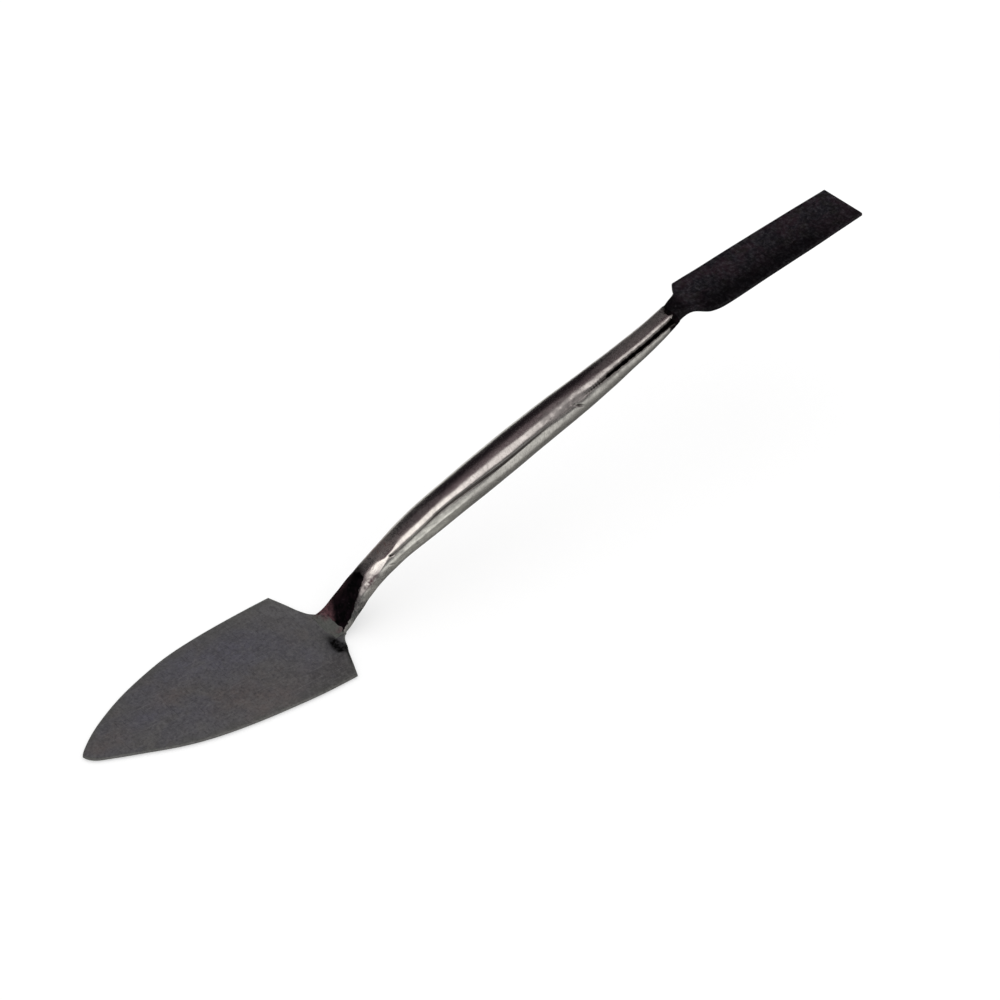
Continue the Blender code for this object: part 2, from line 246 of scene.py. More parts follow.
def surface_state(points, x, y, lift):
    """The steel's state, 0 to 1 per attribute, at the points of one section.
    rise is how far a point lies up the section's far, upper diagonal."""
    rise = 0.79 * y + 0.61 * lift
    coarse, fine = wave_noise(points, 1.3, 2.0), wave_noise(points, 0.5, 4.0)
    ragged = 0.45 * coarse + 0.22 * fine
    # dull patches, plus painted shade: a rise towards the square end that dims the highlight
    # there
    dull = (ovals(DULL_PATCHES, x, rise)
            + 0.22 * smooth(70, 80, x) + 0.16 * smooth(90, 97, x))
    # heat-tinted blotch just above the neck, on the near side
    tint = bump(x, 17.6, 1.7) * bump(rise, -1.45, 1.10) * (0.58 + 1.5 * coarse + 1.2 * fine)
    # painted highlight and reflection: the bare metal made brighter in a spot by the neck and on
    # the lower handle's near flank
    highlight_boost = bump(x, 21.8, 4.0) * bump(rise, 0.3, 1.4) * (1.1 + 0.4 * coarse)
    flank_reflection_boost = (0.46 * smooth(22, 26, x) * (1 - smooth(41, 50, x))
                   * (1 - smooth(0.7, 1.5, rise)) * (1 + coarse))
    # painted reflection: a brownish coat high on the far side, at both ends of the handle, for
    # the dim room reflected there
    room_reflection_leaf_end = 0.95 * bump(x, 24.4, 5.0) + 0.28 * smooth(28, 33, x) * (1 - smooth(36, 48, x))
    room_reflection_square_end = 0.70 * smooth(89, 108, x) * smooth(0.2, 1.1, rise)
    haze = (room_reflection_leaf_end * smooth(0.2, 1.0, rise) + room_reflection_square_end) * (1 + 0.5 * coarse)
    # grinding on the neck, and low on the near side by the square
    ground = (1 - smooth(13.4, 16.4, x + ragged * 2)) * (1 - 0.5 * (1 - smooth(8.6, 10.4, x)))
    ground = ground + 0.5 * smooth(115, 118, x) * smooth(-1, -2, rise)
    return {"oxide": np.clip(oxide_cover(x, rise, ragged), 0, 1),
            "dull": np.clip(dull * (1 + 1.1 * coarse + 0.6 * fine), 0, 1),
            "ground": np.clip(ground, 0, 1), "tint": np.clip(tint, 0, 1),
            "brighter_reflection": np.clip(np.maximum(highlight_boost, flank_reflection_boost), 0, 1),
            "haze": np.clip(haze, 0, 1)}


def hidden_state(keys, count):
    """The state of surfaces inside the tool: wholly black scale."""
    return {key: np.ones(count) * (key == "oxide") for key in keys}


def gather(states):
    """Joins a list of states into one array of values per attribute."""
    return {key: np.concatenate([np.ravel(state[key]) for state in states])
            for key in states[0]}


# ============================================================ mesh building
def make_object(name, points, faces, material, replaced, attributes, sharp=40):
    """A mesh object from points in mm, riding on the tool's body; edges bent by
    more than sharp degrees are left crisp."""
    mesh = bpy.data.meshes.new(name)
    mesh.from_pydata((np.asarray(points, float) * MM).tolist(), [], faces)
    mesh.materials.append(material)
    for key, values in attributes.items():
        layer = mesh.attributes.new(key, "FLOAT", "POINT")
        layer.data.foreach_set("value", np.asarray(values, np.float32).ravel())
    mesh.validate()
    mesh.update()
    mesh.shade_smooth()
    mesh.set_sharp_from_angle(angle=math.radians(sharp))
    made = bpy.data.objects.new(name, mesh)
    bpy.context.scene.collection.objects.link(made)
    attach(made, BODY)
    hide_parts(replaced)
    return made


def grid_faces(rows, cols, closed_rows=False, closed_cols=True):
    """Quads of a grid of rows x cols points; normals point out for rings that
    run counter-clockwise seen from the last row."""
    faces = []
    for i in range(rows if closed_rows else rows - 1):
        this, after = i * cols, ((i + 1) % rows) * cols
        for k in range(cols if closed_cols else cols - 1):
            m = (k + 1) % cols
            faces.append((this + k, this + m, after + m, after + k))
    return faces


def capped(grid):
    """Points and faces of a loft closed by one flat face at each end."""
    rows, cols, _ = grid.shape
    faces = grid_faces(rows, cols)
    faces.append(tuple(range(cols))[::-1])
    faces.append(tuple((rows - 1) * cols + k for k in range(cols)))
    return grid.reshape(-1, 3), faces


def merge(obj, distance, middle=0.0):
    """Joins points closer than distance; those on y = 0 closer than middle."""
    mesh = bmesh.new()
    mesh.from_mesh(obj.data)
    bmesh.ops.remove_doubles(mesh, verts=mesh.verts, dist=distance * MM)
    if middle:
        on_axis = [vert for vert in mesh.verts if abs(vert.co.y) < 1e-7]
        bmesh.ops.remove_doubles(mesh, verts=on_axis, dist=middle * MM)
    bmesh.ops.dissolve_degenerate(mesh, edges=mesh.edges, dist=distance * MM * 0.5)
    bmesh.ops.recalc_face_normals(mesh, faces=mesh.faces)
    mesh.to_mesh(obj.data)
    mesh.free()
    obj.data.update()


# ============================================================= shader nodes
class Nodes:
    """Fills a node tree; an input's value may be a socket, number or colour."""

    def __init__(self, tree):
        self.tree = tree
        tree.nodes.clear()

    def new(self, kind, inputs=None, **settings):
        node = self.tree.nodes.new(kind)
        for key, value in settings.items():
            setattr(node, key, value)
        for key, value in (inputs or {}).items():
            self.put(value, node.inputs[key])
        return node

    def link(self, output, target):
        self.tree.links.new(output, target)

    def put(self, value, socket):
        if isinstance(value, bpy.types.NodeSocket):
            self.link(value, socket)
        elif isinstance(value, tuple) and len(socket.default_value) == 4:
            socket.default_value = (*value, 1.0)
        else:
            socket.default_value = value

    def ramp(self, value, span, to=(0.0, 1.0)):
        """Smooth step across span, from the first value of to to the second."""
        return self.new("ShaderNodeMapRange", interpolation_type="SMOOTHSTEP", inputs={
            "Value": value, "From Min": span[0], "From Max": span[1],
            "To Min": to[0], "To Max": to[1]}).outputs[0]

    def math(self, operation, first, second=0.0, clamp=False):
        return self.new("ShaderNodeMath", operation=operation, use_clamp=clamp,
                        inputs={0: first, 1: second}).outputs[0]

    def times(self, first, second):
        return self.math("MULTIPLY", first, second)

    def add(self, total, rows):
        """Adds weighted values to total; rows are value, weight."""
        for value, weight in rows:
            total = self.math("ADD", total, self.times(value, weight))
        return total

    def mix(self, share, first, second):
        return self.new("ShaderNodeMix", data_type="RGBA",
                        inputs={0: share, 6: first, 7: second}).outputs[2]

    def paint(self, colour, coats):
        """Lays coats over a colour.  A coat is its colour and mask; three more
        numbers are where the mask starts, where it is full, and its strength."""
        for coat, mask, *ramp in coats:
            if ramp:
                start, full, strength = ramp
                mask = self.ramp(mask, (start, full), to=(0, strength))
            colour = self.mix(mask, colour, coat)
        return colour


class SteelNodes(Nodes):
    """A new material whose textures are laid out in millimetres."""

    def __init__(self, name):
        self.material = bpy.data.materials.new(name)
        self.material.use_nodes = True
        super().__init__(self.material.node_tree)
        output = self.new("ShaderNodeOutputMaterial")
        self.bsdf = self.new("ShaderNodeBsdfPrincipled")
        self.link(self.bsdf.outputs[0], output.inputs[0])
        coords = self.new("ShaderNodeTexCoord")
        self.position = self.new("ShaderNodeVectorMath", operation="SCALE", inputs={
            0: coords.outputs["Object"], "Scale": 1 / MM}).outputs[0]

    def noise(self, size, detail, rough, stretch=(1, 1, 1), turn=(0, 0, 0), move=(0, 0, 0),
              distort=0.0):
        """Noise with features of about size, stretched along each axis and
        turned by degrees."""
        node = self.new("ShaderNodeTexNoise", inputs={
            "Scale": 1.0, "Detail": detail, "Roughness": rough, "Distortion": distort})
        mapping = self.new("ShaderNodeMapping", inputs={
            "Scale": tuple(1 / (size * factor) for factor in stretch),
            "Rotation": tuple(math.radians(degrees) for degrees in turn),
            "Location": move, "Vector": self.position})
        self.link(mapping.outputs[0], node.inputs["Vector"])
        return node.outputs["Fac"]

    def attr(self, name):
        return self.new("ShaderNodeAttribute", attribute_name=name).outputs["Fac"]

    def bump(self, height, strength, depth):
        return self.new("ShaderNodeBump", inputs={
            "Strength": strength, "Distance": depth * MM, "Height": height}).outputs[0]

    def finish(self, colour, metallic, roughness, normal, specular):
        for key, value in (("Base Color", colour), ("Metallic", metallic),
                           ("Roughness", roughness), ("Specular IOR Level", specular),
                           ("Normal", normal)):
            self.put(value, self.bsdf.inputs[key])
        return self.material


# ================================================================ materials
# Rows of coats: colour, mask[, mask value at start, at full, strength]
def leaf_material():
    """Matte dark grey rolled steel: blue-violet and brown mottling, fine
    grain, faint scratches, a paler speckled rim, and soot with painted shade by the weld."""
    n = SteelNodes("leaf_grey_steel")
    patches = n.noise(size=10, detail=4, rough=0.6, distort=0.8)
    patches2 = n.noise(size=7.5, detail=4, rough=0.62, move=(9, 3, 0))
    cloud = n.noise(size=2.4, detail=5, rough=0.7, move=(1, 2, 0))
    grain = n.noise(size=0.75, detail=4, rough=0.72)
    fine = n.noise(size=0.28, detail=2, rough=0.6)
    scratch = n.noise(size=0.34, detail=2, rough=0.5, stretch=(22, 1, 1), turn=(0, 0, 24))
    scratch2 = n.noise(size=0.32, detail=2, rough=0.5, stretch=(1, 16, 1),
                       turn=(0, 0, -12), move=(4, 1, 0))
    cool = n.times(n.attr("cool"), n.ramp(patches, span=(0.30, 0.58), to=(0.45, 1.0)))
    warm = n.times(n.attr("warm"), n.ramp(patches2, span=(0.32, 0.58), to=(0.40, 1.0)))
    shade = n.times(n.attr("shade"), n.ramp(cloud, span=(0.30, 0.60), to=(0.25, 0.75)))
    rim = n.times(n.attr("edge"), n.ramp(grain, span=(0.36, 0.62), to=(0.15, 1.0)))
    green = n.times(n.attr("border"), n.ramp(cloud, span=(0.30, 0.65), to=(0.25, 1.0)))
    # soot and painted shade: darkens the hollow and the lobe's shadow by the weld's near end
    soot = n.math("MULTIPLY", n.attr("soot"),
                  n.ramp(cloud, span=(0.35, 0.62), to=(1.25, 0.85)), clamp=True)
    colour = n.paint((0.116, 0.111, 0.109), (
        ((0.108, 0.105, 0.116), patches, 0.38, 0.60, 1.0),
        ((0.122, 0.104, 0.098), patches2, 0.50, 0.66, 0.40),
        ((0.109, 0.105, 0.130), cool),
        ((0.128, 0.105, 0.101), warm),
        ((0.168, 0.165, 0.161), n.attr("pale")),
        ((0.079, 0.076, 0.081), cloud, 0.38, 0.62, 0.50),
        ((0.048, 0.043, 0.045), shade),
        ((0.165, 0.161, 0.162), grain, 0.50, 0.68, 0.46),
        ((0.040, 0.037, 0.041), grain, 0.49, 0.32, 0.46),
        ((0.056, 0.052, 0.057), fine, 0.56, 0.74, 0.30),
        ((0.190, 0.188, 0.192), scratch, 0.60, 0.72, 0.34),
        ((0.044, 0.041, 0.044), scratch2, 0.60, 0.73, 0.40),
        ((0.165, 0.168, 0.155), n.times(rim, 0.50)),
        ((0.092, 0.095, 0.084), n.times(green, 0.42)),
        ((0.0012, 0.0012, 0.0012), soot)))
    rough = n.ramp(grain, span=(0.25, 0.75), to=(0.48, 0.64))
    smoother = n.times(n.ramp(patches, span=(0.35, 0.7)), 0.06)
    height = n.add(n.times(grain, 0.7), ((fine, 0.3),))
    grooves = n.times(n.ramp(scratch2, span=(0.62, 0.75)), 0.5)
    height = n.math("SUBTRACT", height, grooves)
    return n.finish(colour=colour,
                    metallic=n.ramp(n.attr("soot"), span=(0.0, 0.8), to=(0.35, 0.0)),
                    roughness=n.math("SUBTRACT", rough, smoother),
                    normal=n.bump(height, strength=0.45, depth=0.06),
                    specular=n.ramp(n.attr("soot"), span=(0.0, 0.8), to=(0.35, 0.04)))


BARE, BARE_DARK = (0.64, 0.615, 0.595), (0.34, 0.325, 0.315)


def steel_material(name, seed, bare_rough):
    """Forged steel in its different states.  Attributes choose between bare
    ground steel, duller and darker ground steel (darker still towards the square end, as painted
    shade), black forging scale, heat tint, oxide with painted shade in the creases, a painted
    brighter highlight and reflection near the leaf end, and a painted brownish reflection of the
    dim room high on the far side."""
    n = SteelNodes(name)
    along = (0, -18, 0)
    line = n.noise(size=0.10, detail=3, rough=0.65, stretch=(50, 1, 1), turn=along,
                   move=(seed, 0, 0))
    line2 = n.noise(size=0.30, detail=3, rough=0.6, stretch=(18, 1, 1), turn=along,
                    move=(3, 7, seed))
    cross = n.noise(size=0.46, detail=4, rough=0.75, stretch=(1, 2.4, 2.4), turn=along,
                    move=(seed, 4, 1))
    cloud = n.noise(size=3.6, detail=5, rough=0.65, stretch=(1.6, 1, 1), turn=along,
                    move=(0, seed, 0))
    blotch = n.noise(size=1.5, detail=4, rough=0.65, move=(seed, 2, 2))
    spots = n.noise(size=0.50, detail=3, rough=0.6, move=(5, 5, seed))
    pits = n.ramp(spots, span=(0.69, 0.76))
    haze = n.times(n.attr("haze"), n.ramp(cross, span=(0.35, 0.62), to=(1.0, 0.55)))
    dull = n.times(n.attr("dull"), n.ramp(cloud, span=(0.25, 0.60), to=(1.0, 0.62)))
    tint = n.times(n.attr("tint"), n.ramp(blotch, span=(0.25, 0.58), to=(0.60, 1.0)))
    ground = n.paint((0.088, 0.098, 0.098), (
        ((0.250, 0.236, 0.234), blotch, 0.34, 0.64, 1.0),
        ((0.045, 0.048, 0.048), cross, 0.46, 0.62, 0.70)))
    scale = n.paint((0.0012, 0.0012, 0.0013), (
        ((0.0058, 0.0028, 0.0042), blotch, 0.36, 0.66, 1.0),
        ((0.034, 0.023, 0.028), cross, 0.57, 0.70, 0.40)))
    weld = n.paint((0.074, 0.076, 0.070), (
        ((0.098, 0.099, 0.092), blotch, 0.32, 0.66, 1.0),
        ((0.050, 0.050, 0.047), cross, 0.46, 0.66, 0.5)))
    tinted = n.paint((0.105, 0.050, 0.056), (
        ((0.042, 0.021, 0.025), cross, 0.42, 0.62, 1.0),))
    colour = n.paint(BARE, (
        (tuple(0.80 * channel for channel in BARE), cloud, 0.34, 0.68, 1.0),
        (BARE_DARK, line2, 0.52, 0.72, 0.36),
        (BARE_DARK, cross, 0.47, 0.64, 0.60),
        # painted highlight and reflection: brighter bare metal by the neck and on the lower near
        # flank
        ((0.94, 0.92, 0.87), n.attr("brighter_reflection")),
        # painted reflection of the dim room, brownish, high on the far side
        ((0.138, 0.090, 0.082), haze),
        ((0.09, 0.08, 0.08), n.times(pits, 0.6)),
        # duller steel, and painted shade dimming the highlight towards the square end
        ((0.180, 0.168, 0.168), dull),
        (ground, n.attr("ground")),
        (scale, n.attr("oxide"), 0.0, 0.55, 1.0),
        (weld, n.attr("weld")),
        (tinted, tint),
        # oxide with painted shade: darker along the seam's lips, in the pits and on the seam
        # weld
        ((0.052, 0.046, 0.042), n.attr("crease_oxide_and_shade"))))
    matte = n.math("MAXIMUM", n.attr("oxide"),
                   n.math("MAXIMUM", n.attr("tint"), n.attr("weld")))
    metallic = n.times(n.ramp(matte, span=(0.55, 1.0), to=(1.0, 0.12)),
                       n.ramp(haze, span=(0.0, 1.0), to=(1.0, 0.66)))
    rough = n.ramp(cloud, span=(0.3, 0.7), to=(bare_rough, bare_rough + 0.09))
    rough = n.add(rough, ((n.ramp(line, span=(0.35, 0.7)), 0.08), (n.attr("dull"), 0.12),
                          (n.attr("ground"), 0.18), (matte, 0.32)))
    rough = n.math("ADD", rough, n.times(n.attr("crease_oxide_and_shade"), 0.3), clamp=True)
    height = n.add(n.times(line, 0.4), ((line2, 0.8), (cross, 1.1)))
    height = n.math("SUBTRACT", height, pits)
    return n.finish(colour=colour, metallic=metallic, roughness=rough,
                    normal=n.bump(height, strength=0.30, depth=0.04),
                    specular=n.ramp(n.attr("oxide"), span=(0.3, 1.0), to=(0.28, 0.02)))


def square_material():
    """Near-black satin steel with violet and brown casts, fine scratches and
    bright specks along its edges."""
    n = SteelNodes("square_black_steel")
    cast = n.noise(size=6.0, detail=4, rough=0.6, distort=0.5)
    cast2 = n.noise(size=3.2, detail=4, rough=0.65, move=(2, 6, 1))
    grain = n.noise(size=0.95, detail=5, rough=0.78)
    streak = n.noise(size=0.55, detail=3, rough=0.6, stretch=(1, 3.0, 1), turn=(0, 0, -24),
                     move=(1, 8, 2))
    specks = n.noise(size=0.48, detail=3, rough=0.6, move=(7, 2, 3))
    scratch = n.noise(size=0.20, detail=2, rough=0.5, stretch=(26, 1, 1),
                      turn=(0, -PITCH_DEG, 0))
    scratch2 = n.noise(size=0.26, detail=2, rough=0.5, stretch=(9, 1, 1), turn=(0, 0, 58),
                       move=(5, 2, 0))
    # bright marks fade where the blade is shaded
    light = n.ramp(n.attr("shade"), span=(0, 1), to=(1.0, 0.22))

    def lit(pattern, start, full, strength):
        return n.times(n.ramp(pattern, span=(start, full), to=(0, strength)), light)

    rim = n.times(n.attr("edge"), n.ramp(grain, span=(0.44, 0.64)))
    colour = n.paint((0.0090, 0.0080, 0.0130), (
        ((0.0250, 0.0112, 0.0185), cast, 0.38, 0.62, 1.0),
        ((0.0165, 0.0150, 0.0125), cast2, 0.50, 0.66, 0.75),
        ((0.0018, 0.0013, 0.0020), n.attr("shade"), 0, 1, 0.92),
        ((0.036, 0.036, 0.043), lit(streak, 0.50, 0.66, 0.62)),
        ((0.0016, 0.0012, 0.0018), grain, 0.50, 0.34, 0.80),
        ((0.062, 0.057, 0.064), lit(grain, 0.51, 0.66, 0.70)),
        ((0.085, 0.082, 0.084), lit(scratch, 0.60, 0.72, 0.36)),
        ((0.090, 0.080, 0.082), lit(scratch2, 0.64, 0.75, 0.36)),
        ((0.16, 0.14, 0.14), specks, 0.70, 0.77, 0.75),
        ((0.105, 0.110, 0.102), n.times(rim, 0.55))))
    grooves = n.times(n.ramp(scratch, span=(0.62, 0.74)), 0.6)
    height = n.math("SUBTRACT", grain, grooves)
    return n.finish(colour=colour,
                    metallic=n.ramp(n.attr("shade"), span=(0, 1), to=(0.35, 0.10)),
                    roughness=n.ramp(grain, span=(0.3, 0.7), to=(0.44, 0.62)),
                    normal=n.bump(height, strength=0.45, depth=0.07),
                    specular=n.ramp(n.attr("shade"), span=(0, 1), to=(0.22, 0.06)))


LEAF, SQUARE = leaf_material(), square_material()
SCALE = steel_material("black_scaled_steel", seed=1.0, bare_rough=0.22)
WELD = steel_material("foot_weld_steel", seed=2.0, bare_rough=0.30)
BRIGHT = steel_material("polished_steel", seed=3.0, bare_rough=0.15)
GROUND = steel_material("ground_weld_steel", seed=4.0, bare_rough=0.19)


# =============================================================== leaf blade
LEAF_LENGTH, LEAF_HALF = 69.3, 19.0
TAB_X, TAB_HALF = 7.6, 4.9              # end and half width of the tab under the neck
# the blade's side edges from heel corner to tip: x, distance from the middle
FAR_EDGE = (
    (0.30, 19.15), (-3.0, 19.15), (-10.0, 19.02), (-18.0, 18.68), (-26.0, 18.03),
    (-34.0, 16.85), (-42.0, 14.75), (-50.0, 12.05), (-57.0, 8.85), (-62.0, 6.05),
    (-66.0, 3.22), (-68.0, 1.55), (-68.9, 0.60), (-69.3, 0.0))
NEAR_EDGE = (
    (0.15, 19.05), (-3.0, 19.02), (-10.0, 18.85), (-18.0, 18.20), (-26.0, 17.32),
    (-34.0, 16.10), (-42.0, 14.30), (-50.0, 11.50), (-57.0, 8.25), (-62.0, 5.90),
    (-65.0, 4.42), (-67.0, 3.35), (-68.4, 2.10), (-69.05, 1.00), (-69.3, 0.0))
# the heel's edge: distance from the middle, then x on the far and near sides
HEEL_Y = (4.9, 5.6, 6.4, 7.4, 8.6, 10.2, 12.6, 15.4, 17.6, 19.15)
FAR_HEEL = Spline(HEEL_Y, (7.6, 6.1, 5.05, 4.22, 3.62, 2.95, 2.28, 1.50, 0.84, 0.30))
NEAR_HEEL = Spline(HEEL_Y, (7.0, 6.35, 5.82, 5.33, 4.86, 3.98, 2.92, 1.78, 0.84, 0.15))
# Soft ovals on the leaf: x, y, half length, half width, then height or strength
DENTS = ((2.4, -7.3, 2.5, 2.0, -0.40), (-1.2, -7.6, 1.6, 3.0, 0.10))
# soot and painted shade round the near side of the neck's foot
SOOT_AND_SHADE = ((2.4, -3.4, 1.7, 2.2, 0.30), (1.2, -7.4, 2.2, 3.8, 0.26), (3.7, -8.9, 1.3, 1.7, 1.1))
COOL = ((-15.0, 6.5, 11.0, 7.0, 0.8), (-28.0, 9.5, 9.0, 5.0, 1.0), (-49.0, 1.0, 7.0, 4.0, 1.0),
        (-37.0, -4.5, 4.5, 3.0, 0.7), (-8.0, -6.0, 6.0, 5.0, 0.6), (-42.0, 10.0, 6.0, 3.0, 0.5))
WARM = ((-29.0, -6.5, 6.5, 4.0, 1.0), (-40.5, 3.5, 6.5, 3.0, 0.8), (-19.0, -12.0, 9.0, 4.0, 0.8),
        (-62.5, 0.0, 4.5, 3.0, 0.8), (-27.0, -15.0, 9.0, 2.5, 0.6), (-3.0, 12.0, 4.0, 3.0, 0.3))
RIM_WIDTH = 0.30
# steps down the rim: how far in from the outline, share of the plate's height
RIM_STEPS = ((0.10, 0.80), (0.0, 0.55), (0.0, 0.25), (0.12, 0.0))


def leaf_side(edge, heel):
    """One side's outline, with y > 0, from the root tab round to the tip."""
    tab = np.linspace(0, 1, 16)[:-1, None] * [[0.0, TAB_HALF]] + [[TAB_X, 0.0]]
    knots = np.array(edge)
    heel_y = TAB_HALF + (knots[0, 1] - TAB_HALF) * np.linspace(0, 1, 90)[:-1]
    run = np.concatenate([[0], np.cumsum(np.hypot(*np.diff(knots, axis=0).T))])
    # sine spacing crowds the points towards the tip
    stops = run[-1] * np.sin(0.5 * np.pi * np.linspace(0, 1, 260))
    curve = np.stack([Spline(run, knots[:, 0])(stops),
                      np.maximum(Spline(run, knots[:, 1])(stops), 0)], 1)
    return np.concatenate([tab, np.stack([heel(heel_y), heel_y], 1), curve])


def outline_normals(side):
    """Outward normals of the outline curve."""
    tangent = np.gradient(side, axis=0)
    normal = np.stack([tangent[:, 1], -tangent[:, 0]], 1)
    normal /= np.maximum(np.linalg.norm(normal, axis=1), 1e-9)[:, None]
    return normal


def leaf_top(x, y):
    """Height of the leaf's upper face: thinner at its edges and tip, with a
    dent and a low swelling beside the neck's foot."""
    along = np.clip(-x / LEAF_LENGTH, 0, 1)
    half = LEAF_HALF * np.clip(1 - along ** 2.47, 0, None) ** 0.80
    inside = np.clip(half - np.abs(y), 0, 60)
    height = 0.62 + 0.38 * smooth(0.0, 9.0, inside) - 0.06 * smooth(-40, -66, x)
    return ovals(DENTS, x, y, height)


def leaf_soot_and_shade(x, y):
    """Soot and painted shade on the heel, round the near side of the neck's foot: the dark
    hollow there and the shadow under the weld's lobe are painted in.
    """
    patch = 1.15 * np.exp(-((np.abs(x - 2.7 - 0.10 * (y + 7)) / 1.75) ** 2.2
                            + (np.abs(y + 6.9) / 3.2) ** 2.4))
    along_heel = (0.85 * bump(x, 3.3 + 0.44 * (y + 11.5), 0.75)
                  * smooth(-17.5, -13, y) * smooth(-8, -10, y))
    return ovals(SOOT_AND_SHADE, x, y, patch) + along_heel


def leaf_pale(x, y):
    """Paler steel: the far half, the heel and a strip of the near side."""
    return (0.42 * smooth(-16, 2, x) * smooth(0, 18, y) + 0.22 * smooth(-6, 2, x)
            + 0.12 * smooth(-8, -15, y) * smooth(-8, -20, x))


def leaf_layers(side):
    """Lines along the leaf, out over the top and back underneath: x, distance
    from the middle, share of the height, edge, border and share of soot and painted shade."""
    share = np.linspace(0, 1, len(side))
    # the line in the middle that each outline point is joined to
    axis = TAB_X + (-(LEAF_LENGTH - 2.0) - TAB_X) * smooth(0.02, 1.0, share) ** 0.9
    axis = np.minimum.accumulate(np.where(share < 0.055, TAB_X, axis))
    normal = outline_normals(side)
    inner = side - normal * RIM_WIDTH * np.minimum(1, side[:, 1:2] / 0.6)
    inner[:, 1] = np.maximum(inner[:, 1], 0.0)
    across = np.concatenate([np.linspace(0, 0.86, 34), np.linspace(0.88, 1.0, 16)])
    layers = [(axis + (inner[:, 0] - axis) * reach, inner[:, 1] * reach, 1.0,
               smooth(0.955, 1.0, reach), smooth(0.78, 0.99, reach), 1.0) for reach in across]
    for inset, level in RIM_STEPS:
        layers.append((side[:, 0] - normal[:, 0] * inset,
                       np.maximum(side[:, 1] - normal[:, 1] * inset, 0),
                       level, 1.0 if level else 0.35, 1.0, 0.6))
    layers += [(axis + (inner[:, 0] - axis) * reach * 0.999, inner[:, 1] * reach * 0.999,
                0.0, 0.35, 1.0, 0.6) for reach in across[::-1]]
    return layers


def build_leaf():
    points, faces, states = [], [], []
    for sign, edge_table, heel in ((1.0, FAR_EDGE, FAR_HEEL), (-1.0, NEAR_EDGE, NEAR_HEEL)):
        side = leaf_side(edge_table, heel)
        start, count = len(points), len(side)
        layers = leaf_layers(side)
        for x, distance, level, edge, border, soot_and_shade_share in layers:
            y = sign * distance
            points += np.stack([x, y, leaf_top(x, y) * level], 1).tolist()
            states.append({"edge": np.full(count, edge),
                           "soot": np.clip(leaf_soot_and_shade(x, y) * soot_and_shade_share, 0, 1),
                           "shade": smooth(-24, 3, x) * smooth(-5, -17, y),
                           "border": np.full(count, border),
                           "cool": np.clip(ovals(COOL, x, y), 0, 1),
                           "warm": np.clip(ovals(WARM, x, y), 0, 1),
                           "pale": np.clip(leaf_pale(x, y), 0, 1)})
        for quad in grid_faces(len(layers), count, closed_cols=False):
            quad = tuple(start + corner for corner in quad)
            faces.append(quad if sign > 0 else quad[::-1])
    obj = make_object("leaf_plate", points, faces, LEAF, "leaf_blade",
                      gather(states), sharp=32)
    merge(obj, 0.0005, middle=0.012)


# ============================================================ cranked neck
NECK_FROM, NECK_TO = 4.0, 19.55
# the round tang inside the handle: x, radius
TANG = ([(19.56, 1.7)] + [(x, 1.7) for x in np.linspace(22, 59, 16)]
        + [(60.2, 1.4), (60.8, 0.7)])


def build_neck():
    around = 180
    angle = ring_angles(around)
    stations = np.linspace(NECK_FROM, NECK_TO, 190)
    rows, states = [], []
    for x in stations:
        y, lift = ground_section(x, angle)
        # a shallow hollow along the top, and a flare where the far flank
        # runs out into the leaf
        hollow = 0.12 * smooth(8, 12, x) * (1 - smooth(15, 19, x))
        lift = lift - hollow * np.exp(-(y / 1.6) ** 2) * (lift > 0)
        y = y + np.where(y > 0, 0.50 * (1 - smooth(5.0, 9.5, x)), 0) * np.abs(y) / 5
        ring = place(x, y, lift)
        state = surface_state(ring, x, y, lift)
        state["weld"] = 1 - smooth(6.2, 6.9, x + 0.18 * np.maximum(0, y))
        # heat tint beside the foot weld, and a fainter one up the far flank
        tint = bump(x, 7.3, 2.4) * smooth(-0.4, 1.6, y - 1.2 * (x - 7.9)) * (lift > -0.8)
        tint = tint * smooth(3.6, 5.2, x)
        flank = 0.25 * bump(x, 14.5, 3.0) * smooth(1.0, 3.5, y)
        state["tint"] = np.clip(state["tint"] + tint + flank, 0, 1)
        rows.append(ring)
        states.append(state)
    body = np.array(rows).reshape(-1, 3)
    lumps = wave_noise(body, 3.0, 1.0) * 0.11 + wave_noise(body, 0.9, 6.0) * 0.03
    fade = smooth(6.5, 9.0, stations) * (1 - smooth(18.6, 19.5, stations))
    body = push_out(body, stations, lumps, fade)
    tang = [place(x, radius * np.cos(angle), radius * np.sin(angle)) for x, radius in TANG]
    states.append(hidden_state(states[0], len(tang) * around))
    points, faces = capped(np.concatenate([body, np.array(tang)]))
    make_object("neck", points, faces, SCALE, "leaf_neck", gather(states))


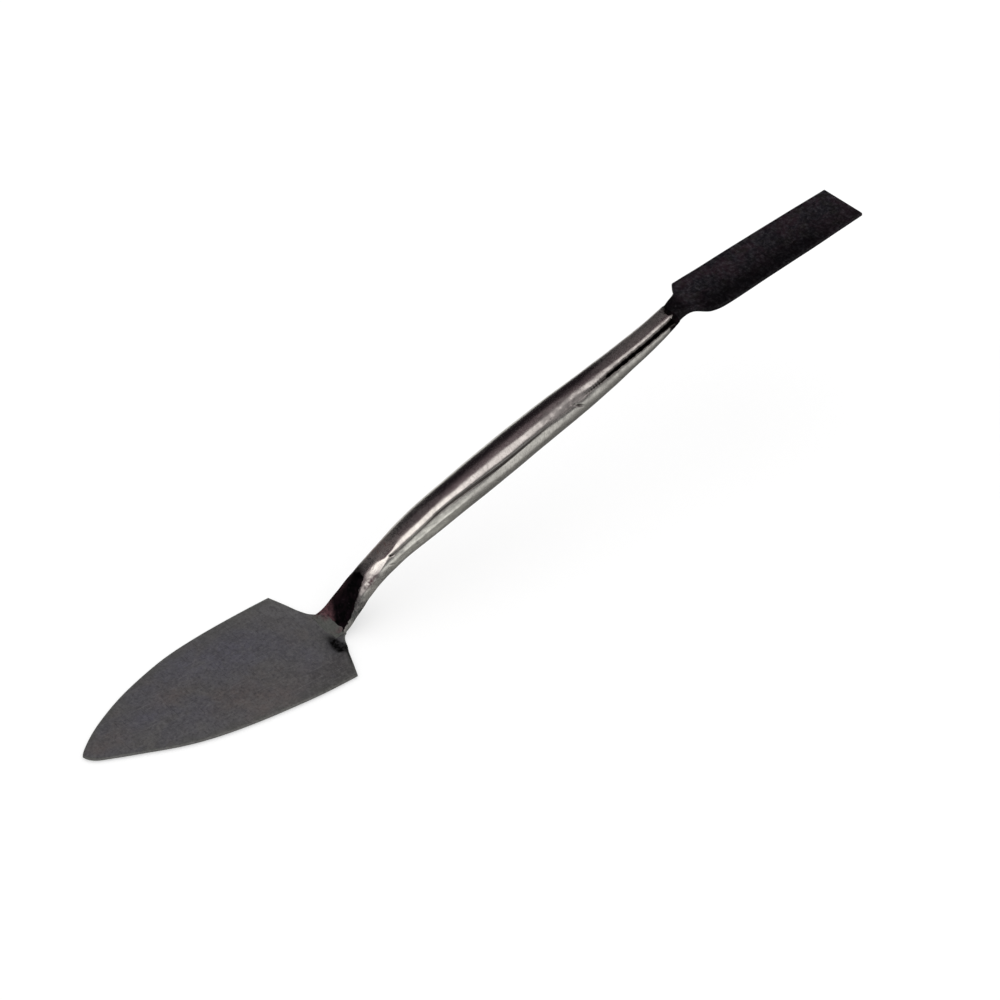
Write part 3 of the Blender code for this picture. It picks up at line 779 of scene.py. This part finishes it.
def build_foot_weld():
    """The fillet of weld that laps over the neck's foot: it rises from the
    leaf up the foot of the slope, with a fat lobe at its near end."""
    rows, cols = 170, 64
    up_slope = np.linspace(0, 1, cols)
    top, under, tint, hollow_shade = [], [], [], []
    for side in np.linspace(-1, 1, rows):           # from the near end to the far
        fullness = (1 - abs(side) ** 3.0) ** (1 / 2.2)
        front = np.array([6.9 - 3.75 * fullness, (5.75 if side > 0 else 4.95) * side])
        back = np.array([7.5 - 0.12 * max(0.0, 4.3 * side), 4.3 * side])
        line = front + (back - front) * up_slope[:, None]
        x, y = line.T
        z = 0.93 + 0.42 * smooth(0.0, 0.75, up_slope) * fullness ** 0.5 + 1.30 * up_slope ** 1.4
        lobe = ovals(((6.0, -4.1, 1.15, 0.95, 0.48),), x, y)
        z = z + lobe * np.minimum(1, up_slope / 0.25)
        top.append(np.column_stack([line, z]))
        under.append(np.column_stack([line, np.full(cols, 0.70)]))
        tint.append(0.62 * bump(x, 6.0, 1.3) * bump(y, -4.2, 1.0)
                    + smooth(0.30, 0.75, up_slope) * smooth(0.2, 2.4, y))
        # painted shade: the hollow at the front of the weld's near end is darkened
        hollow_shade.append(smooth(0.30, 0.0, up_slope) * bump(side, -0.90, 0.10) * 0.5)
    top = np.array(top).reshape(-1, 3)
    lumps = wave_noise(top, 1.1, 7.0) * 0.10 + wave_noise(top, 0.45, 9.0) * 0.035
    top[:, 2] += lumps * np.tile(smooth(0, 0.25, up_slope), rows)
    points = np.concatenate([top, np.array(under).reshape(-1, 3)])
    faces = []
    below = rows * cols                             # offset to the underside's points
    for i in range(rows - 1):
        for j in range(cols - 1):
            k = i * cols + j
            faces.append((k, k + 1, k + cols + 1, k + cols))
            faces.append((below + k, below + k + cols, below + k + cols + 1, below + k + 1))
    for i in range(rows - 1):
        j, k = i * cols, i * cols + cols - 1
        faces.append((j + cols, below + j + cols, below + j, j))
        faces.append((k, below + k, below + k + cols, k + cols))
    for j in range(cols - 1):
        k = (rows - 1) * cols + j
        faces.append((j, below + j, below + j + 1, j + 1))
        faces.append((k + 1, below + k + 1, below + k, k))
    plain = np.zeros(below)
    obj = make_object("foot_weld_bead", points, faces, WELD, "leaf_foot_weld",
                      {"weld": np.ones(2 * below),
                       "tint": np.clip(np.concatenate([np.ravel(tint), plain]), 0, 1),
                       "crease_oxide_and_shade": np.clip(np.concatenate([np.ravel(hollow_shade), plain]), 0, 1)})
    merge(obj, 0.001)


# ================================================================== handle
HANDLE_FROM, HANDLE_TO, WALL = 20.65, 118.55, 0.9
# x, the seam's place round the section (degrees from +Y over the top), the half
# width of the gap between its lips, and how deeply the upper lip rolls in
SEAM = (
    (20.6, 134.0, 0.015, 0.00), (23.9, 135.0, 0.015, 0.00), (24.5, 137.0, 0.10, 0.08),
    (26.6, 142.5, 0.05, 0.05), (30.0, 144.6, 0.05, 0.05), (34.3, 142.6, 0.06, 0.05),
    (38.8, 139.6, 0.11, 0.10), (43.5, 140.0, 0.15, 0.14), (48.3, 142.8, 0.16, 0.13),
    (53.3, 146.3, 0.17, 0.11), (56.5, 148.4, 0.17, 0.10), (60.0, 149.8, 0.17, 0.10),
    (63.9, 150.2, 0.17, 0.09), (69.0, 149.6, 0.14, 0.08), (72.5, 149.0, 0.10, 0.05),
    (76.0, 148.0, 0.05, 0.02), (78.0, 147.0, 0.015, 0.00), (86.5, 144.5, 0.015, 0.00),
    (88.4, 143.9, 0.05, 0.04), (91.6, 143.0, 0.16, 0.09), (95.0, 142.6, 0.36, 0.14),
    (101.0, 143.6, 0.47, 0.16), (106.0, 145.6, 0.49, 0.18), (111.0, 147.8, 0.48, 0.20),
    (115.5, 151.5, 0.60, 0.22), (118.6, 158.0, 0.95, 0.25))
SEAM_X, SEAM_DEGREES, SEAM_GAP, SEAM_ROLL = zip(*SEAM)
SEAM_SPLINE = Spline(SEAM_X, SEAM_DEGREES)
# pits struck into the handle: x, degrees round, half length and width, depth
PITS = ((85.2, 160.5, 0.74, 0.42, 0.50), (24.9, 137.5, 0.45, 0.24, 0.30),
        (19.9, 152.0, 0.55, 0.40, 0.12), (23.6, 172.0, 0.60, 0.30, 0.08),
        (57.0, 190.0, 0.70, 0.22, 0.06), (99.0, 192.0, 0.55, 0.16, 0.12),
        (103.2, 194.0, 0.40, 0.18, 0.10), (40.0, 70.0, 0.60, 0.20, 0.05))


def seam_angle(x):
    return math.radians(float(SEAM_SPLINE(x)))


def seam_half(x):
    """Half the gap between the lips; the open part has ragged edges."""
    ragged = 0.09 * math.sin(x * 2.3) + 0.06 * math.sin(x * 5.1 + 1.0)
    width = float(np.interp(x, SEAM_X, SEAM_GAP))
    beads = 0.55 * math.sin(x * 7.4) * float(smooth(86.5, 88, x) * (1 - smooth(92.5, 95, x)))
    return max(0.012, width * (1 + beads + ragged * (1.6 if 90 < x < 108 else 0.8)))


def seam_roll(x):
    return float(np.interp(x, SEAM_X, SEAM_ROLL))


def handle_dents(x, turn, gap):
    """How deeply the lips and pits sink the surface, and how dark they are painted (oxide with
    painted shade in the hollows), at angles turn round from the seam; gap is its half angle."""
    radius = mean_radius(x)
    lower_lip = (turn - gap) * radius                   # distance from each lip
    upper_lip = (2 * np.pi - gap - turn) * radius
    roll = seam_roll(x)
    low_edge = np.exp(-(lower_lip / 0.20) ** 2)
    sink = roll * np.exp(-(upper_lip / 0.50) ** 2) + 0.45 * roll * low_edge
    shade_mark = (np.exp(-(upper_lip / 0.38) ** 2) + low_edge) * min(1.0, roll / 0.10)
    beads = math.sin(x * 7.4) * float(smooth(86, 88, x) * (1 - smooth(92, 94, x)))
    shade_mark = shade_mark * (1 + 0.5 * beads)
    for pit_x, pit_degrees, long, wide, deep in PITS:
        along = (x - pit_x) / long
        if abs(along) < 3:
            degrees = (np.degrees(seam_angle(x) + turn) - pit_degrees + 180) % 360 - 180
            across = degrees * math.pi / 180 * radius - 0.9 * (x - pit_x)
            pit = np.exp(-along ** 2 - (across / wide) ** 2)
            sink = sink + deep * pit
            shade_mark = shade_mark + min(1.0, deep / 0.2) * pit
    return sink, shade_mark


def build_handle():
    """A thin tube, C-shaped in section, open along its seam."""
    stations = np.linspace(HANDLE_FROM, HANDLE_TO, 480)
    around = 270
    share = np.linspace(0, 1, around)
    share = share - 0.145 * np.sin(2 * np.pi * share)    # crowds points at both lips
    outer, inner, states = [], [], []
    for x in stations:
        radius = mean_radius(x)
        seam = seam_angle(x)
        gap = seam_half(x) / radius
        turn = gap + (2 * np.pi - 2 * gap) * share
        y, lift = ground_section(x, seam + turn)
        sink, shade_mark = handle_dents(x, turn, gap)
        shrink = 1 - sink / np.maximum(np.hypot(y, lift), 1e-6)
        ring = place(x, y * shrink, lift * shrink)
        outer.append(ring)
        state = surface_state(ring, x, y, lift)
        # darkening of the lips and pits: oxide with painted shade
        state["crease_oxide_and_shade"] = np.clip(shade_mark, 0, 1)
        states += [state, hidden_state(state, around)]
        inner_gap = gap * radius / (radius - WALL)
        inner_turn = inner_gap + (2 * np.pi - 2 * inner_gap) * share
        inner.append(place(x, *section(x, seam + inner_turn, WALL)))
    # hand polishing leaves long, very shallow waves
    flat = np.array(outer).reshape(-1, 3)
    waves = (wave_noise(flat * [0.30, 1.0, 1.0], 2.6, 3.0) * 0.050
             + wave_noise(flat * [0.6, 1, 1], 1.0, 5.0) * 0.012)
    fade = (smooth(HANDLE_FROM, HANDLE_FROM + 2, stations)
            * (1 - smooth(HANDLE_TO - 2, HANDLE_TO, stations)))
    grid = np.concatenate([push_out(flat, stations, waves, fade),
                           np.array(inner)[:, ::-1]], axis=1)
    rows, cols, _ = grid.shape
    faces = grid_faces(rows, cols)
    # end faces, one quad for each step round the C
    for row, flip in ((0, True), (rows - 1, False)):
        base = row * cols
        for k in range(around - 1):
            quad = (base + k, base + k + 1, base + cols - 2 - k, base + cols - 1 - k)
            faces.append(quad[::-1] if flip else quad)
    make_object("handle", grid.reshape(-1, 3), faces, BRIGHT, "handle_tube",
                gather(states), sharp=50)


def build_seam_weld():
    """A narrow fillet low in the seam, from where it closes to where it gapes."""
    across = np.linspace(1, -1, 8)
    rows = []
    for x in np.linspace(24.1, 95.5, 330):
        seam = seam_angle(x)
        half = (seam_half(x) + 0.05) / mean_radius(x)
        # it dives deeper at both ends
        shown = min(smooth(24.2, 25.0, x), 1 - smooth(88.8, 91.2, x))
        depth = seam_roll(x) + 0.14 + 0.35 * (1 - shown) + 0.02 * math.sin(x * 9.0)
        face = section(x, seam + across * half, depth + 0.04 * across * across)
        root = section(x, seam + across[::-1] * half, WALL * 0.98)
        rows.append(place(x, *np.concatenate([face, root], axis=1)))
    points, faces = capped(np.array(rows))
    # the whole weld is darkened: oxide with painted shade in the seam's gap
    obj = make_object("seam_weld", points, faces, GROUND,
                      "handle_seam_weld", {"crease_oxide_and_shade": np.full(len(points), 0.80)})
    merge(obj, 0.0005)


def build_ring(name, replaced, span, inner_half, proud):
    """A ring weld between two pieces, ground flush but still a little lumpy.
    span is its x from and to, inner_half the hole's half width and height."""
    around, steps = 240, 20
    angle = ring_angles(around)
    start, end = span
    rows, states = [], []
    for x in np.linspace(start, end, steps):
        y, lift = ground_section(x, angle)
        ripple = proud * (0.5 + 0.5 * np.sin(angle * 23 + 2 * np.sin(angle * 3)))
        ripple = ripple * math.sin(math.pi * (x - start) / (end - start))
        grow = 1 + ripple / np.hypot(y, lift)
        ring = place(x, y * grow, lift * grow)
        rows.append(ring)
        states.append(surface_state(ring, x, y, lift))
    for x in np.linspace(end, start, steps):
        rows.append(place(x, inner_half[0] * np.cos(angle), inner_half[1] * np.sin(angle)))
        states.append(hidden_state(states[0], around))
    faces = grid_faces(len(rows), around, closed_rows=True)
    make_object(name, np.array(rows).reshape(-1, 3), faces, GROUND,
                replaced, gather(states))


# ============================================================= square blade
BLADE_FROM, BLADE_TO = 119.8, 181.8
# the blade's sides and thickness: x, then the half width or half thickness
FAR_SIDE = Spline(
    (119.8, 121.2, 122.6, 123.9, 125.0, 125.8, 126.5, 127.1, 127.7, 129.0, 133.0, 140.0,
     155.0, 168.0, 175.0, 181.8),
    (3.06, 3.12, 3.45, 4.05, 5.05, 6.35, 7.35, 7.80, 7.84, 7.86, 7.88, 7.88,
     7.74, 7.58, 7.46, 7.34))
NEAR_SIDE = Spline(
    (119.8, 121.2, 122.6, 123.9, 125.0, 126.0, 127.0, 128.4, 130.0, 132.5, 140.0, 155.0,
     168.0, 175.0, 181.8),
    (3.06, 2.90, 2.86, 3.10, 3.80, 5.10, 6.40, 7.30, 7.78, 8.04, 8.00, 7.76,
     7.62, 7.50, 7.36))
HALF_THICK = Spline((119.8, 121.2, 123.0, 125.0, 127.5, 131.0, 150.0, 181.8),
                    (2.26, 1.82, 1.38, 1.02, 0.74, 0.62, 0.58, 0.50))
# the flat tang inside the handle: stations, half width and half thickness
FLAT_TANG_X = [86.0, 86.4, *np.linspace(90, 118.6, 14), 119.7]
FLAT_TANG_HALF, FLAT_TANG_THICK = 1.3, 0.55


def build_square():
    count = 200
    angle = ring_angles(count) + np.pi / count
    rows, edge, shade = [], [], []
    for k, x in enumerate(FLAT_TANG_X):
        half = FLAT_TANG_HALF * (0.6 if k == 0 else 1.0)
        y, lift = squared_ring(angle, half, half, FLAT_TANG_THICK, FLAT_TANG_THICK, 6.0)
        rows.append(place(x, y, lift))
        edge.append(np.zeros(count))
        shade.append(np.ones(count))
    stations = np.concatenate([np.linspace(BLADE_FROM, 132.0, 120),
                               np.linspace(132.3, 181.55, 150),
                               BLADE_TO - np.array([0.12, 0.05, 0.02, 0.0])])
    for x in stations:
        # the end is eased over its last 0.15 mm
        ease = (1 - min(1.0, (BLADE_TO - float(x)) / 0.15)) ** 2
        far, near = float(FAR_SIDE(x)), float(NEAR_SIDE(x))
        nose = 1 - 0.012 * ease
        thick = float(HALF_THICK(x)) * (1 - 0.35 * ease)
        squareness = float(2.5 + 18.0 * smooth(120.0, 127.5, x))
        y, lift = squared_ring(angle, far * nose, near * nose, thick, thick, squareness)
        rows.append(place(x, y, lift))
        border = smooth(0.90, 0.985, np.abs(y) / np.where(y >= 0, far, near))
        end = 0.5 * smooth(BLADE_TO - 1.0, BLADE_TO - 0.2, x)
        edge.append(np.clip(border + end, 0, 1) * smooth(124, 129, x)
                    * (0.12 + 0.88 * smooth(-3.0, 5.0, y)))
        near_side = smooth(1.0, -6.0, y) * smooth(122, 128, x) * (1 - 0.4 * smooth(160, 178, x))
        shade.append(np.clip(near_side + (1 - smooth(121.5, 126.5, x)), 0, 1))
    points, faces = capped(np.array(rows))
    # the blade's rolled faces are very slightly uneven
    start = len(FLAT_TANG_X) * count
    fade = np.repeat(smooth(124, 131, stations), count)
    points[start:, 2] += wave_noise(points[start:], 11.0, 8.0) * 0.10 * fade
    obj = make_object("square_spatula", points, faces, SQUARE, "square_blade",
                      {"edge": edge, "shade": shade}, sharp=38)
    merge(obj, 0.0008)


build_leaf()
build_neck()
build_foot_weld()
build_handle()
build_seam_weld()
build_ring("leaf_end_ring", "leaf_end_weld", span=(19.5, 20.7), inner_half=(1.72, 1.72),
           proud=0.02)
build_ring("square_end_ring", "square_end_weld", span=(118.5, 119.85), inner_half=(1.45, 0.75),
           proud=0.03)
build_square()


# ==================================================================== stage
def light_world():
    """White surroundings for matte surfaces; for the steel's reflections, a
    broad overhead softbox on the near side of a dim studio."""
    world = bpy.data.worlds.new("studio")
    bpy.context.scene.world = world
    world.use_nodes = True
    n = Nodes(world.node_tree)
    coords = n.new("ShaderNodeTexCoord")
    split = n.new("ShaderNodeSeparateXYZ", inputs={0: coords.outputs["Generated"]})
    toward_x, toward_y, toward_z = split.outputs
    to_degrees = 57.2958
    elevation = n.times(n.math("ARCSINE", toward_z), to_degrees)
    # degrees from the -Y direction towards +Y over the top
    over = n.times(n.math("ARCTAN2", toward_z, n.times(toward_y, -1.0)), to_degrees)
    # share of the direction that lies along the tool
    along = n.math("ABSOLUTE", toward_x)
    # coats: colour, angle over the top where it starts and is full, strength
    dim = n.paint((0.205, 0.158, 0.172), (
        ((0.017, 0.013, 0.016), over, 84, 132, 1.0),
        ((0.085, 0.080, 0.080), over, 150, 176, 1.0),
        ((0.38, 0.38, 0.37), over, 34, 8, 1.0)))
    softbox = n.times(n.ramp(over, span=(30, 45)), n.ramp(over, span=(88, 72)))
    softbox = n.times(softbox, n.ramp(along, span=(0.80, 0.62)))
    below_box = n.paint((0.15, 0.15, 0.145), ((dim, over, 26, 36, 1.0),))
    studio = n.paint(dim, ((below_box, elevation, 4, 22, 1.0),
                           ((1.34, 1.28, 1.25), softbox)))
    path = n.new("ShaderNodeLightPath")
    shown = n.mix(path.outputs["Is Glossy Ray"], (1.06, 1.06, 1.06), studio)
    background = n.new("ShaderNodeBackground", inputs={"Color": shown})
    n.new("ShaderNodeOutputWorld", inputs={0: background.outputs[0]})
    world.cycles.sampling_method = "NONE"


# the floor as the steel reflects it: upward share of the reflected ray, colour; the grey
# straight below is painted shade of the floor under the tool
FLOOR_STOPS = ((0.0, (0.72, 0.72, 0.70)), (0.10, (1.02, 1.03, 0.98)),
               (0.24, (0.96, 0.97, 0.92)), (0.40, (0.68, 0.68, 0.65)),
               (0.60, (0.31, 0.31, 0.29)), (0.80, (0.18, 0.18, 0.17)),
               (1.0, (0.15, 0.15, 0.14)))


def floor_material():
    """Pale floor, part lit and part glowing; in the steel it only glows, pale
    near the horizon and grey straight below."""
    material = bpy.data.materials.new("pale_floor")
    material.use_nodes = True
    n = Nodes(material.node_tree)
    path = n.new("ShaderNodeLightPath")
    glossy = path.outputs["Is Glossy Ray"]
    lit_colour = n.mix(glossy, (0.50, 0.50, 0.50), (0.0, 0.0, 0.0))
    geometry = n.new("ShaderNodeNewGeometry")
    split = n.new("ShaderNodeSeparateXYZ", inputs={0: geometry.outputs["Incoming"]})
    fall = n.new("ShaderNodeValToRGB", inputs={"Fac": split.outputs[2]})
    fall.color_ramp.interpolation = "EASE"
    while len(fall.color_ramp.elements) < len(FLOOR_STOPS):
        fall.color_ramp.elements.new(0.5)
    for element, (position, colour) in zip(fall.color_ramp.elements, FLOOR_STOPS):
        element.position = position
        element.color = (*colour, 1)
    glow_colour = n.mix(glossy, (0.51, 0.51, 0.51), fall.outputs["Color"])
    diffuse = n.new("ShaderNodeBsdfDiffuse", inputs={"Color": lit_colour})
    glow = n.new("ShaderNodeEmission", inputs={"Color": glow_colour, "Strength": 1.0})
    both = n.new("ShaderNodeAddShader", inputs={0: diffuse.outputs[0], 1: glow.outputs[0]})
    # one-sided: from below, the camera looks through it at the tool
    clear = n.new("ShaderNodeBsdfTransparent")
    from_below = n.times(geometry.outputs["Backfacing"], path.outputs["Is Camera Ray"])
    side = n.new("ShaderNodeMixShader", inputs={
        0: from_below, 1: both.outputs[0], 2: clear.outputs[0]})
    n.new("ShaderNodeOutputMaterial", inputs={"Surface": side.outputs[0]})
    return material


def build_floor():
    # metres; just under the leaf, so that the two never touch
    bpy.ops.mesh.primitive_plane_add(size=6.0, location=(0, 0, -0.0004))
    floor = bpy.context.active_object
    floor.name = "studio_floor"
    floor.data.materials.append(floor_material())


# metres; the camera stands at the leaf end, on the near side, looking down
CAMERA_PLACE = Vector((-0.34734, -0.49945, 0.5379))
CAMERA_BACK = Vector((-0.4917, -0.6004, 0.6307)).normalized()


def build_camera():
    data = bpy.data.cameras.new("camera")
    data.sensor_width = 36.0
    data.lens = 114.976
    data.clip_start = 0.01
    camera = bpy.data.objects.new("camera", data)
    bpy.context.scene.collection.objects.link(camera)
    right = Vector((0, 0, 1)).cross(CAMERA_BACK).normalized()
    turn = Matrix((right, CAMERA_BACK.cross(right), CAMERA_BACK)).transposed()
    camera.matrix_world = Matrix.Translation(CAMERA_PLACE) @ turn.to_4x4()
    bpy.context.scene.camera = camera


light_world()
build_floor()
build_camera()
bpy.context.scene.view_settings.view_transform = "Standard"
bpy.context.scene.view_settings.look = "None"
